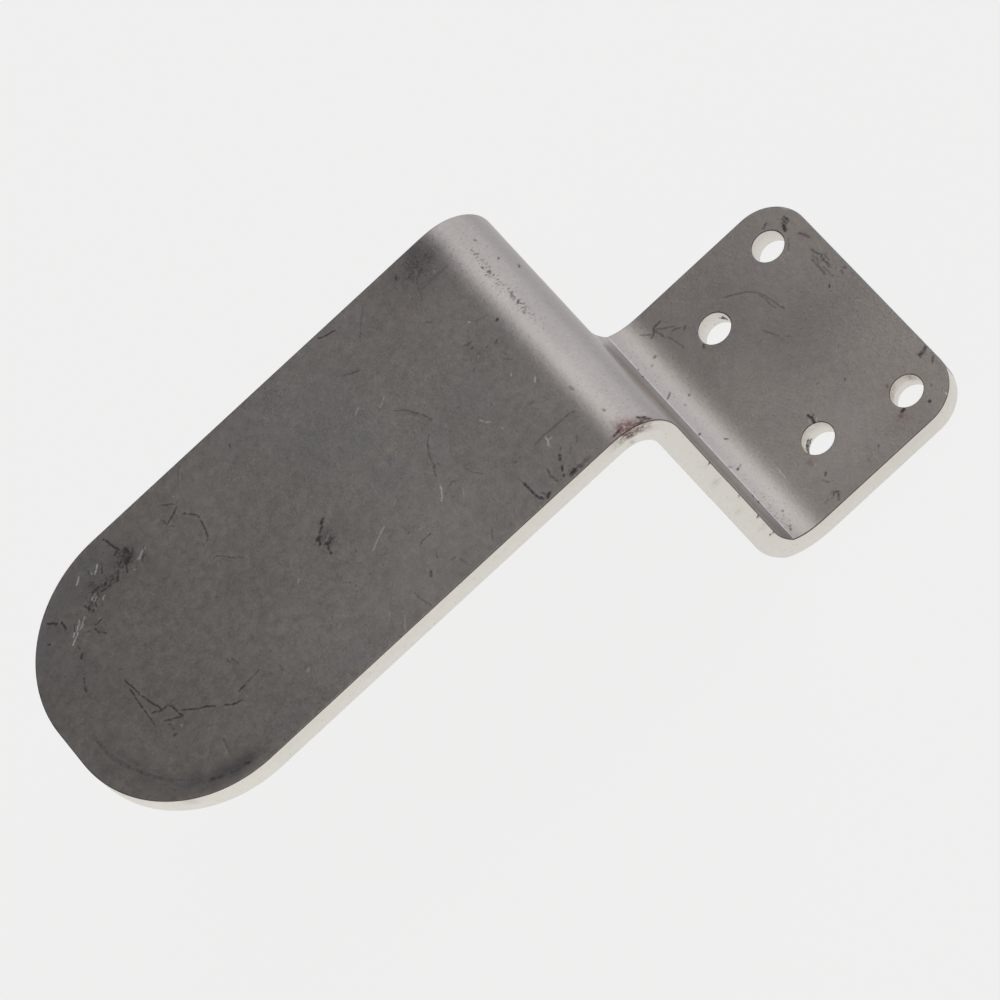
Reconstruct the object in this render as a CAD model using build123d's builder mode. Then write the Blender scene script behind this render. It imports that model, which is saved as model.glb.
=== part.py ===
import os

from build123d import *

# Bonnet tab: one strip of sheet steel bent twice, so that a long round-ended tongue
# stands level above a short drilled base. Millimetres, +Z up. The origin is the middle
# of the hole pattern, on the underside of the base. The base runs towards +X and the
# tongue towards -X.

# Sheet and bends
sheet_thickness = 3.0
strip_width = 42.0
overall_height = 45.5
base_length = 29.5  # from the riser's front face to the free end of the base
tongue_length = 80.0  # from the riser's front face to the tip of the tongue
heel_inside_radius = 4.0  # bend between base and riser
shoulder_inside_radius = 3.5  # bend between riser and tongue

# Cut outline
tongue_tip_flat = 6.0  # straight stretch between the two round corners of the tongue
base_corner_radius = 6.0
edge_rounding = 0.3

# Holes in the base, in two rows of two, wider apart in the row near the free end
hole_diameter = 4.5
hole_row_pitch = 12.0
outer_hole_inset = 5.75  # from the free end and from the strip's side
inner_hole_inset = 9.5  # from the strip's side

# Places and sizes that follow from these
tongue_end_radius = (strip_width - tongue_tip_flat) / 2
outer_row_x = hole_row_pitch / 2
inner_row_x = -hole_row_pitch / 2
base_end_x = outer_row_x + outer_hole_inset
riser_front_x = base_end_x - base_length
tongue_tip_x = riser_front_x - tongue_length


def cut_rims(part):
    """Edges round the cut outline, on both faces of the sheet."""
    side_walls = part.faces().filter_by(Axis.Y)
    corner_walls = part.faces().filter_by(GeomType.CYLINDER).filter_by(
        lambda wall: abs(wall.axis_of_rotation.direction.Z) > 0.5
    )
    end_walls = part.faces().filter_by(Axis.X).sort_by(Axis.X)
    walls = side_walls + corner_walls + ShapeList([end_walls[0], end_walls[-1]])
    return walls.edges().filter_by(
        lambda edge: edge.length > sheet_thickness * 1.01 or abs((edge % 0.5).Z) < 0.5
    )


with BuildPart() as bonnet_tab:
    # The strip seen from the side: its upper face, from the base to the tongue, thickened downwards
    with BuildSketch(Plane.XZ):
        with BuildLine():
            FilletPolyline(
                (base_end_x, sheet_thickness),
                (riser_front_x, sheet_thickness),
                (riser_front_x, overall_height),
                (tongue_tip_x, overall_height),
                radius=[heel_inside_radius, shoulder_inside_radius + sheet_thickness],
            )
            offset(amount=sheet_thickness, side=Side.LEFT)
        make_face()
    extrude(amount=strip_width / 2, both=True)

    # The outline seen from above: a round tongue tip and two rounded base corners
    with BuildSketch() as outline:
        with Locations(((base_end_x + tongue_tip_x) / 2, 0)):
            Rectangle(base_end_x - tongue_tip_x, strip_width)
        fillet(outline.vertices().group_by(Axis.X)[0], tongue_end_radius)
        fillet(outline.vertices().group_by(Axis.X)[-1], base_corner_radius)
    extrude(amount=overall_height, mode=Mode.INTERSECT)

    fillet(cut_rims(bonnet_tab.part), edge_rounding)

    for row_x, side_inset in ((outer_row_x, outer_hole_inset), (inner_row_x, inner_hole_inset)):
        hole_y = strip_width / 2 - side_inset
        with Locations((row_x, -hole_y, sheet_thickness), (row_x, hole_y, sheet_thickness)):
            Hole(hole_diameter / 2, depth=sheet_thickness)

bonnet_tab.part.label = "bonnet_tab"

os.makedirs("parts", exist_ok=True)
export_step(bonnet_tab.part, "parts/bonnet_tab.step")
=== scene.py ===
import math
import random

import bmesh
import bpy
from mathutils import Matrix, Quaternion, Vector, noise


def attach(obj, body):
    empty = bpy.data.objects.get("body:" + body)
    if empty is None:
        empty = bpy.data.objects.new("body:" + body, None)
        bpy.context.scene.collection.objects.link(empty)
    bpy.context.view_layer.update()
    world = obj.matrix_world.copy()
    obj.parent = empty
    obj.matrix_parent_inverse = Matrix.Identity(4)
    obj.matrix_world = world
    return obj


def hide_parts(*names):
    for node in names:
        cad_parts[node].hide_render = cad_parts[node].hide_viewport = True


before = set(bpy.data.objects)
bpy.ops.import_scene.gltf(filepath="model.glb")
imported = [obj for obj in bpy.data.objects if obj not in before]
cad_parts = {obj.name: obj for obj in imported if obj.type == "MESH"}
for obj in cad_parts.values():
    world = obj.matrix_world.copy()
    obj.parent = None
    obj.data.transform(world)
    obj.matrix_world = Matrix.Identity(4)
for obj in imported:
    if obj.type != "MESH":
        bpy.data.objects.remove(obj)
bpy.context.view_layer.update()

# Bonnet tab, a strip of sheet steel bent twice, standing on the underside of its base.
# Sizes are in millimetres, and the mesh is made in metres. Outline, bends and holes have the
# sizes of the part's source; the rims are rounded less, as they look in the photograph.

MM = 0.001

# Sheet and bends
SHEET = 3.0
WIDTH = 42.0
HEIGHT = 45.5
BASE_LENGTH = 29.5
TONGUE_LENGTH = 80.0
BASE_END_X = 11.75
TONGUE_TIP_X = BASE_END_X - BASE_LENGTH - TONGUE_LENGTH
HEEL_RADIUS = 4.0
SHOULDER_RADIUS = 3.5

# Cut outline
TIP_RADIUS = 18.0
BASE_CORNER_RADIUS = 6.0
RIM_ROUNDING = 0.12

# Holes: distance from the base's free end, distance from the middle line
HOLE_RADIUS = 2.25
HOLES = ((5.75, 15.25), (5.75, -15.25), (17.75, 11.5), (17.75, -11.5))

# Lengths along the middle of the flat strip, from the base's free end
QUARTER = math.pi / 2
HEEL_START = BASE_LENGTH - HEEL_RADIUS
HEEL_END = HEEL_START + (HEEL_RADIUS + SHEET / 2) * QUARTER
SHOULDER_START = HEEL_END + HEIGHT - 2 * SHEET - HEEL_RADIUS - SHOULDER_RADIUS
SHOULDER_END = SHOULDER_START + (SHOULDER_RADIUS + SHEET / 2) * QUARTER
STRIP_LENGTH = SHOULDER_END + TONGUE_LENGTH - SHEET - SHOULDER_RADIUS

# How the sheet turns in each bend: start and end along the strip, degrees, and how far the turn is
# eased in and out. The tool left a crease inside the heel.
CREASE = HEEL_START + 4.37
HEEL_TURNS = (
    (HEEL_START - 0.5, CREASE - 0.33, 35.0, 2.4, 0.04),
    (CREASE - 0.33, CREASE + 0.33, 24.0, 0.04, 0.04),
    (CREASE + 0.33, HEEL_END + 1.06, 31.0, 0.04, 0.8),
)
SHOULDER_TURNS = ((SHOULDER_START, SHOULDER_END + 0.25, 90.0, 0.8, 1.7),)

BEND_DRAW_IN = 0.06  # of each side, where a bend stretches the sheet
WARP = 0.03  # how far the sheet stands off its true place at most
RISER_MIDDLE = 50.0  # the sheet stands off to its upper side before it, to its lower side after it

# Mesh of the flat strip
CELL = 0.5
PROFILE_STEP = 0.02  # between the points of the sheet's middle line
CUT_MARGIN = 0.35  # how far inside a hole's edge the middle of a cut-out cell lies

# Dark marks on the upper face: strength, width, then points (along the strip, across it)
DARK_MARKS = (
    # far corner of the base
    (0.60, 0.37, (1.75, 16.9), (1.6, 16.1)),
    (0.50, 0.29, (2.1, 16.9), (2.0, 16.0)),
    (0.90, 0.41, (2.45, 16.0), (2.8, 15.2)),
    (0.40, 0.33, (3.9, 18.0), (4.6, 17.7)),
    (0.40, 0.29, (1.8, 13.6), (1.4, 12.7), (1.1, 11.8)),
    (0.22, 0.24, (3.2, 13.9), (4.2, 12.6)),
    (0.35, 0.28, (2.1, 10.4), (1.9, 9.6), (1.6, 8.5)),
    (0.40, 0.29, (1.6, 8.9), (1.9, 8.2), (1.8, 7.2), (1.9, 6.6)),
    (0.28, 0.24, (2.6, 9.6), (2.3, 8.7), (2.7, 8.0)),
    (0.30, 0.25, (2.9, 9.2), (2.9, 7.6), (3.0, 6.0)),
    (0.26, 0.24, (1.3, 8.6), (1.4, 7.2)),
    (0.24, 0.24, (2.5, 7.0), (2.5, 5.0)),
    (0.60, 0.31, (3.55, 4.35), (3.7, 4.15)),
    (0.30, 0.29, (0.7, 5.1), (0.6, 4.6)),
    (0.30, 0.28, (1.2, 4.9), (1.3, 4.3)),
    # middle of the base
    (0.28, 0.21, (14.2, 14.0), (12.2, 12.7), (11.3, 11.9), (10.7, 11.0), (10.3, 9.9), (9.8, 7.0), (9.6, 6.4)),
    (0.28, 0.23, (10.7, 10.6), (10.5, 9.2), (10.6, 8.4), (10.35, 7.3)),
    (0.26, 0.21, (13.6, 6.3), (13.1, 5.4), (12.9, 4.6), (12.5, 4.0)),
    (0.18, 0.20, (12.0, 3.2), (11.4, 2.6)),
    (0.22, 0.28, (12.9, -5.4), (13.3, -5.4)),
    (0.38, 0.30, (10.2, -7.7), (10.35, -7.9)),
    # between the far inner hole and the heel
    (0.50, 0.34, (20.2, 14.8), (20.6, 14.6)),
    (0.34, 0.25, (20.6, 15.0), (21.3, 15.5), (21.9, 15.7)),
    (0.38, 0.25, (21.2, 15.9), (22.0, 16.5), (22.8, 17.2), (23.3, 17.6)),
    (0.55, 0.29, (22.2, 18.0), (22.8, 17.9), (23.3, 17.9), (23.9, 17.2), (24.4, 17.0)),
    (0.38, 0.28, (23.5, 17.6), (23.2, 16.4), (23.1, 15.6)),
    (0.30, 0.24, (22.8, 15.6), (22.5, 14.3), (22.3, 13.5), (22.2, 12.4)),
    (0.40, 0.25, (24.1, 17.4), (24.8, 17.9), (25.3, 18.4)),
    (0.65, 0.34, (20.2, 10.7), (20.4, 10.3)),
    # near side of the base
    (0.90, 0.30, (16.7, -8.0), (16.6, -8.7), (16.7, -9.4)),
    (0.55, 0.26, (16.2, -8.5), (16.6, -8.6)),
    (0.95, 0.39, (7.6, -17.0), (7.9, -17.1)),
    (0.30, 0.28, (7.0, -12.6), (7.1, -12.9)),
    (0.22, 0.30, (3.0, -17.1), (3.2, -17.2)),
    (0.95, 0.33, (4.55, -18.7), (4.6, -18.8)),
    (0.65, 0.41, (0.4, -12.4), (0.9, -12.7), (1.5, -12.6)),
    (0.50, 0.26, (1.5, -12.4), (1.6, -13.0)),
    (0.45, 0.34, (0.5, -14.2), (1.0, -14.8)),
    (0.50, 0.26, (12.9, -18.5), (13.1, -18.7)),
    (0.22, 0.25, (14.9, -18.9), (15.0, -19.2)),
    (0.65, 0.30, (20.0, -16.1), (20.1, -16.3)),
    (0.34, 0.25, (20.9, -16.6), (20.4, -17.5)),
    (0.50, 0.33, (21.0, -18.9), (20.4, -19.4)),
    (0.55, 0.28, (20.9, -19.2), (21.2, -19.3)),
    (0.50, 0.34, (20.6, -19.8), (21.0, -20.3)),
    (0.30, 0.25, (22.0, -19.3), (22.6, -19.3)),
    # heel
    (0.50, 0.30, (25.8, 14.5), (26.1, 14.3)),
    (0.26, 0.25, (27.0, 13.6), (27.3, 13.4)),
    (0.40, 0.26, (29.4, 14.0), (29.6, 13.9)),
    (0.70, 0.26, (30.1, 12.6), (30.5, 12.5)),
    (0.30, 0.25, (25.9, 6.5), (26.2, 6.4)),
    (0.32, 0.23, (28.0, 8.4), (28.8, 7.9), (29.2, 7.7)),
    (0.22, 0.23, (27.5, 5.6), (27.7, 5.4)),
    (0.60, 0.28, (29.0, 0.4), (29.4, 0.2)),
    (0.38, 0.28, (26.3, -2.5), (26.7, -2.2)),
    (0.55, 0.30, (28.2, -7.2), (28.6, -7.4)),
    (0.24, 0.23, (27.5, -6.9), (27.9, -7.1)),
    (0.24, 0.21, (28.9, -6.6), (29.4, -6.3)),
    (0.85, 0.26, (30.1, -12.1), (30.5, -12.3)),
    (0.85, 0.26, (30.0, -13.2), (30.5, -13.5)),
    (0.38, 0.26, (27.6, -16.3), (27.8, -16.3)),
    (0.32, 0.27, (28.3, -18.8), (28.6, -18.9)),
    (0.32, 0.23, (28.6, -19.2), (28.9, -19.5)),
    # shoulder
    (0.45, 0.26, (68.7, 10.4), (69.0, 9.9)),
    (0.42, 0.25, (70.3, 12.1), (70.5, 11.8)),
    (0.28, 0.25, (71.0, 16.2), (71.0, 15.9)),
    (0.34, 0.25, (73.1, -16.2), (73.0, -16.6)),
    (0.24, 0.23, (74.0, -10.6), (73.9, -11.4)),
    (0.90, 0.37, (70.3, -20.2), (70.8, -20.2), (71.0, -19.8)),
    (0.75, 0.30, (69.9, -20.6), (70.6, -20.5), (71.3, -20.8)),
    (0.65, 0.30, (73.2, -20.2), (74.0, -20.4)),
    # tongue beside the shoulder, far side
    (0.65, 0.37, (80.4, 19.2), (80.7, 18.8)),
    (0.22, 0.34, (75.0, 15.0), (76.6, 15.1), (79.0, 15.0)),
    (0.26, 0.25, (78.5, 17.1), (79.2, 15.8), (79.6, 14.6), (79.9, 13.8)),
    (0.20, 0.28, (81.3, 18.4), (81.4, 17.4)),
    (0.28, 0.23, (80.9, 10.2), (81.5, 11.1)),
    (0.24, 0.28, (75.3, 5.4), (76.2, 5.7), (77.0, 5.9)),
    (0.28, 0.25, (85.6, 19.4), (87.3, 17.7), (88.2, 16.4), (88.6, 15.9)),
    (0.80, 0.28, (90.3, 19.4), (91.3, 19.7), (91.9, 19.8), (92.5, 20.3)),
    (0.50, 0.23, (93.4, 13.7), (92.7, 13.1), (92.0, 12.7), (91.3, 12.4)),
    (0.30, 0.25, (94.9, 8.5), (95.4, 8.1)),
    # tongue beside the shoulder, middle
    (0.85, 0.34, (74.85, 3.95), (74.95, 3.8)),
    (0.55, 0.30, (79.1, 4.1), (79.5, 4.1), (79.8, 4.35)),
    (0.55, 0.30, (79.2, 3.4), (79.4, 3.25)),
    (0.50, 0.31, (76.5, 1.65), (76.9, 1.4)),
    (0.32, 0.26, (77.7, 1.9), (78.0, 1.95)),
    (0.32, 0.26, (80.7, 0.9), (81.0, 0.6)),
    (0.26, 0.26, (80.2, 2.2), (80.4, 2.1)),
    (0.36, 0.23, (77.4, -1.1), (76.9, -1.7), (76.75, -2.1)),
    (0.26, 0.25, (77.0, -0.2), (76.8, -1.0)),
    (0.22, 0.25, (82.0, -4.3), (82.2, -4.9)),
    (0.46, 0.24, (91.4, 4.3), (90.6, 3.6), (90.1, 2.8), (89.6, 1.8), (89.1, 0.9), (88.9, 0.1), (88.8, -0.5)),
    (0.26, 0.21, (90.9, 3.1), (90.1, 2.2), (89.4, 0.9)),
    (0.42, 0.24, (90.2, -1.9), (90.9, -2.5), (91.4, -3.4), (91.9, -4.4), (92.2, -5.6)),
    (0.75, 0.36, (92.1, -5.7), (92.3, -5.9)),
    (0.42, 0.31, (91.6, -5.7), (91.7, -6.1)),
    (0.45, 0.25, (92.5, -6.2), (92.8, -7.3)),
    # tongue beside the shoulder, near side
    (0.36, 0.24, (89.7, -9.1), (89.3, -10.1), (88.9, -10.9), (88.5, -11.5)),
    (0.30, 0.26, (89.1, -9.0), (89.6, -8.6)),
    (0.30, 0.30, (91.3, -9.6), (92.0, -9.3), (92.6, -9.5)),
    (0.26, 0.26, (92.7, -11.1), (93.0, -11.1)),
    (0.36, 0.30, (75.3, -13.9), (76.2, -13.6), (78.5, -13.6), (80.2, -13.4), (81.5, -13.6)),
    (0.36, 0.26, (83.8, -13.5), (83.9, -13.4)),
    (0.42, 0.26, (84.4, -13.6), (84.9, -13.3)),
    (0.26, 0.26, (78.2, -8.8), (78.9, -8.7)),
    (0.45, 0.28, (79.5, -16.5), (79.7, -16.7)),
    (1.00, 0.37, (80.2, -17.2), (80.5, -17.6)),
    (0.81, 0.33, (80.8, -18.5), (81.1, -19.1)),
    (0.69, 0.29, (81.3, -19.6), (81.5, -19.8)),
    (0.32, 0.25, (78.6, -17.3), (79.1, -18.1)),
    (0.38, 0.27, (77.2, -16.9), (77.6, -17.4)),
    (1.00, 0.54, (80.0, -20.2), (80.6, -20.3)),
    (0.42, 0.49, (77.8, -20.3), (79.4, -20.3)),
    (0.53, 0.30, (82.4, -17.5), (82.6, -18.6), (82.4, -19.9)),
    (0.78, 0.32, (85.6, -16.4), (85.5, -17.9), (85.5, -19.1), (85.3, -19.9), (84.9, -20.3)),
    (0.22, 0.23, (85.5, -14.7), (85.7, -16.3)),
    (0.69, 0.29, (84.7, -19.5), (84.6, -19.9)),
    (1.00, 0.45, (84.1, -20.2), (84.5, -20.4)),
    (0.22, 0.21, (90.2, -16.8), (90.8, -18.0)),
    (0.34, 0.23, (92.0, -18.4), (92.6, -19.2), (93.0, -19.8)),
    (0.46, 0.28, (97.7, -12.8), (98.6, -12.7), (99.4, -12.8), (99.8, -13.1)),
    (0.30, 0.25, (98.6, -15.0), (99.0, -15.7)),
    (0.45, 0.30, (98.95, -15.7), (99.1, -16.0)),
    (0.38, 0.34, (97.4, -17.8), (98.0, -17.7)),
    (0.38, 0.26, (97.2, -18.3), (96.9, -19.5)),
    (0.30, 0.33, (98.4, -10.9), (98.6, -11.0)),
    (0.32, 0.26, (99.6, -10.6), (99.9, -10.6)),
    (0.32, 0.25, (99.9, -8.9), (99.7, -9.9)),
    # middle of the tongue
    (0.34, 0.23, (105.0, 20.7), (104.8, 19.7)),
    (0.24, 0.28, (103.9, 16.7), (104.5, 17.0)),
    (0.55, 0.34, (109.1, 17.5), (109.25, 17.3)),
    (0.28, 0.26, (111.6, 13.5), (111.8, 13.7)),
    (0.28, 0.23, (109.2, 12.1), (109.9, 12.9)),
    (0.32, 0.26, (101.5, 5.2), (101.7, 5.0)),
    (0.78, 0.54, (106.5, -0.4), (106.9, -0.7)),
    (0.85, 0.42, (107.1, -1.1), (107.7, -1.5)),
    (1.00, 0.54, (108.2, -2.0), (108.6, -2.05)),
    (1.00, 0.34, (108.4, -2.3), (108.65, -2.9)),
    (0.72, 0.33, (107.0, -3.5), (107.3, -3.2), (107.6, -3.7)),
    (1.00, 0.42, (107.9, -3.6), (108.2, -3.4)),
    (0.55, 0.29, (107.3, -3.9), (107.8, -4.2)),
    (0.85, 0.33, (108.1, -3.9), (108.3, -4.5), (108.4, -5.1)),
    (0.24, 0.28, (108.5, -5.4), (108.1, -6.7), (107.2, -8.2), (106.2, -9.3)),
    (0.42, 0.30, (105.9, -7.1), (106.0, -7.3)),
    (0.26, 0.33, (105.7, -6.3), (105.8, -6.8)),
    (0.26, 0.28, (101.0, -8.8), (101.6, -8.4)),
    (0.24, 0.21, (102.3, -7.2), (103.0, -7.7)),
    (0.38, 0.33, (109.4, -7.8), (109.6, -8.1)),
    (0.28, 0.33, (109.3, -8.5), (109.6, -8.8)),
    (0.28, 0.27, (109.5, -9.5), (108.9, -10.2)),
    (0.32, 0.30, (108.6, -11.0), (108.8, -11.0)),
    (0.30, 0.27, (101.2, -15.9), (101.3, -16.5)),
    (0.65, 0.41, (100.8, -16.9), (101.1, -17.4)),
    (0.38, 0.25, (103.9, -17.6), (103.85, -18.6), (103.6, -19.6), (103.4, -20.5)),
    # tongue beside the round end
    (0.42, 0.25, (115.6, 20.3), (116.2, 19.6), (116.8, 18.7), (117.2, 18.2)),
    (0.24, 0.21, (115.8, 19.3), (116.4, 18.5)),
    (0.62, 0.28, (120.4, 17.8), (119.6, 17.2), (119.0, 16.6)),
    (0.36, 0.25, (120.6, 17.0), (120.0, 16.2)),
    (0.75, 0.27, (119.0, 16.0), (119.6, 15.6), (120.2, 15.4), (120.9, 15.1), (121.3, 14.9)),
    (0.70, 0.27, (121.3, 15.9), (121.2, 14.8)),
    (0.40, 0.27, (121.0, 14.7), (120.7, 14.0)),
    (0.34, 0.27, (121.7, 16.1), (121.5, 15.5)),
    (0.34, 0.26, (118.4, 16.6), (118.9, 16.3)),
    (0.34, 0.25, (119.1, 15.5), (118.8, 14.8)),
    (0.60, 0.28, (118.9, 14.7), (118.4, 13.9), (118.0, 13.4), (117.7, 12.9), (117.7, 12.4)),
    (0.60, 0.28, (117.75, 12.2), (117.95, 11.0), (118.1, 10.2), (118.4, 9.5), (118.7, 9.15)),
    (0.55, 0.30, (118.55, 9.4), (118.75, 9.1)),
    (0.18, 0.21, (119.0, 8.6), (119.9, 7.6)),
    (0.44, 0.27, (119.5, 6.4), (118.8, 6.2), (118.3, 5.5), (117.9, 4.9)),
    (0.50, 0.25, (118.1, 5.0), (117.2, 4.1), (116.7, 3.5)),
    (0.28, 0.26, (121.6, 9.3), (121.9, 8.7)),
    (0.28, 0.26, (122.1, 8.2), (122.4, 7.8)),
    (0.26, 0.26, (116.6, 7.8), (116.7, 7.6)),
    (0.24, 0.26, (118.1, -3.0), (118.7, -3.3), (119.4, -3.8)),
    (0.38, 0.30, (121.5, -9.3), (121.4, -9.8)),
    (0.42, 0.30, (121.7, -12.0), (121.8, -12.9)),
    (0.30, 0.26, (121.4, -13.9), (121.7, -13.5)),
    # round end, far side
    (0.95, 0.26, (128.4, 20.0), (128.1, 19.3), (128.05, 18.3), (127.8, 17.6), (127.6, 17.1)),
    (0.84, 0.45, (127.0, 16.7), (127.0, 15.6)),
    (0.77, 0.38, (127.9, 17.3), (128.4, 17.0)),
    (0.70, 0.38, (128.4, 15.6), (128.9, 15.5)),
    (0.91, 0.45, (127.2, 15.2), (128.0, 14.9)),
    (0.91, 0.24, (128.1, 14.8), (128.5, 14.1), (128.7, 13.7)),
    (0.53, 0.24, (126.2, 16.1), (126.8, 15.3)),
    (0.70, 0.24, (128.8, 16.0), (129.0, 15.2)),
    (0.59, 0.23, (125.2, 14.9), (125.4, 14.4), (126.0, 13.9), (126.5, 13.3)),
    (0.63, 0.25, (125.4, 14.0), (126.0, 13.8)),
    (0.77, 0.25, (129.4, 14.8), (129.9, 14.3), (130.1, 13.8)),
    (1.00, 0.38, (130.0, 14.3), (130.2, 13.9)),
    (0.56, 0.24, (130.4, 14.4), (130.9, 14.6)),
    (1.00, 0.31, (131.5, 14.75), (131.8, 14.6)),
    (0.84, 0.24, (131.1, 14.1), (132.0, 14.1), (132.6, 14.3)),
    (1.00, 0.30, (132.6, 15.1), (133.6, 15.1)),
    (0.53, 0.24, (132.6, 16.3), (133.1, 15.9)),
    (0.63, 0.31, (133.0, 16.4), (133.3, 16.1)),
    (0.77, 0.28, (135.2, 14.4), (135.3, 14.2)),
    (1.00, 0.31, (135.0, 13.9), (135.1, 13.5)),
    (0.77, 0.28, (134.6, 13.0), (134.9, 12.9)),
    (0.63, 0.24, (133.9, 13.7), (134.3, 12.9)),
    (0.42, 0.23, (133.1, 13.4), (133.7, 12.6)),
    (0.63, 0.25, (130.8, 16.9), (131.1, 16.2)),
    (0.42, 0.23, (130.5, 17.2), (130.8, 16.6)),
    (0.48, 0.24, (132.2, 17.9), (132.4, 17.6)),
    (0.45, 0.31, (129.3, 18.5), (129.8, 18.3)),
    (0.95, 0.28, (140.2, 16.3), (139.9, 15.9), (139.4, 15.5), (139.2, 15.1)),
    (0.84, 0.28, (139.7, 15.2), (139.2, 15.3)),
    (1.00, 0.29, (138.8, 14.9), (138.7, 14.3), (138.9, 13.7)),
    (0.67, 0.28, (141.8, 13.9), (141.4, 13.5)),
    (0.63, 0.25, (137.7, 13.4), (138.0, 12.9), (138.2, 12.5)),
    (0.70, 0.28, (134.8, 11.2), (135.4, 11.1), (135.8, 11.2)),
    (0.70, 0.25, (136.1, 10.9), (136.0, 10.2)),
    (0.98, 0.28, (136.0, 10.2), (135.9, 9.9)),
    (0.70, 0.25, (135.7, 9.7), (135.3, 9.1)),
    (0.48, 0.24, (136.5, 11.0), (137.0, 11.1), (137.3, 11.5)),
    (0.56, 0.23, (139.0, 10.6), (139.1, 9.9)),
    (0.95, 0.34, (139.2, 9.3), (139.6, 8.9)),
    (1.00, 0.31, (140.9, 6.4), (141.0, 6.3)),
    (0.59, 0.24, (140.1, 6.7), (140.6, 6.7)),
    (0.59, 0.24, (141.1, 6.1), (141.4, 5.6)),
    (0.63, 0.38, (141.5, 5.4), (141.7, 4.6)),
    (0.45, 0.28, (141.8, 3.9), (141.8, 3.4)),
    # round end, middle
    (0.42, 0.34, (136.6, 3.5), (136.85, 3.7)),
    (0.32, 0.33, (141.2, 1.6), (141.35, 1.9)),
    (0.28, 0.30, (145.3, 2.6), (145.5, 2.4)),
    (0.26, 0.30, (144.3, 3.6), (144.5, 4.3)),
    (0.80, 0.27, (137.25, 2.1), (137.05, 0.6), (136.85, -1.2), (136.5, -2.9), (136.1, -4.2), (135.95, -5.0)),
    (0.66, 0.27, (137.4, 0.6), (137.55, -1.2), (137.65, -3.0), (137.75, -4.8), (137.85, -6.2)),
    (0.42, 0.26, (137.7, -4.9), (137.85, -5.4)),
    (0.80, 0.28, (137.2, -4.4), (136.7, -4.6), (136.1, -5.1), (135.4, -5.1), (135.0, -5.05)),
    (0.80, 0.28, (135.0, -5.1), (134.75, -5.9), (134.65, -7.0), (134.5, -7.8)),
    (0.75, 0.28, (134.6, -7.8), (135.2, -7.4), (136.2, -6.8), (136.6, -6.4)),
    (0.48, 0.34, (136.4, -7.3), (136.3, -8.5)),
    (0.80, 0.41, (136.5, -9.1), (137.0, -9.1)),
    (0.32, 0.26, (137.6, -6.9), (137.9, -7.5)),
    (0.28, 0.28, (140.1, -1.4), (140.0, -2.6), (139.5, -3.4), (139.2, -4.2)),
    (0.28, 0.34, (140.4, -5.2), (140.2, -6.4), (139.8, -7.6), (139.9, -9.0)),
    (0.46, 0.30, (125.6, -6.3), (125.4, -7.5)),
    (0.40, 0.28, (126.2, -5.9), (126.05, -7.1)),
    # round end, near side
    (0.46, 0.27, (124.0, -10.4), (125.0, -10.5), (126.4, -10.6)),
    (0.75, 0.30, (126.6, -10.7), (127.4, -10.7)),
    (0.75, 0.28, (127.7, -12.1), (128.4, -11.8), (129.1, -11.5), (129.8, -10.8)),
    (0.75, 0.29, (130.8, -10.0), (131.3, -9.4), (131.9, -8.9), (132.5, -8.6), (133.1, -8.0), (134.3, -6.9)),
    (0.24, 0.25, (131.0, -9.0), (132.3, -8.3)),
    (0.22, 0.30, (130.2, -12.5), (131.4, -12.3), (132.3, -11.9), (133.1, -11.3)),
    (0.44, 0.34, (132.5, -14.4), (132.7, -15.4), (133.0, -16.4), (133.1, -16.9)),
    (0.22, 0.34, (129.6, -18.3), (130.0, -17.9)),
    (0.60, 0.49, (131.8, -19.5), (132.3, -19.1)),
    (0.45, 0.49, (133.4, -19.2), (134.4, -18.7)),
    (0.65, 0.49, (135.4, -18.2), (136.1, -17.8), (136.9, -17.4)),
    (0.38, 0.41, (137.5, -17.2), (138.3, -16.5)),
    (0.34, 0.34, (138.2, -15.9), (139.3, -14.8), (140.4, -13.6), (141.1, -12.4)),
    (0.40, 0.30, (140.7, -15.3), (141.3, -14.1)),
    (0.42, 0.60, (144.4, -1.0), (144.4, -4.5), (143.7, -7.2), (142.7, -9.7), (141.7, -11.8), (140.2, -14.0)),
    (0.38, 0.26, (142.8, -10.6), (143.1, -10.2)),
)

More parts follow.
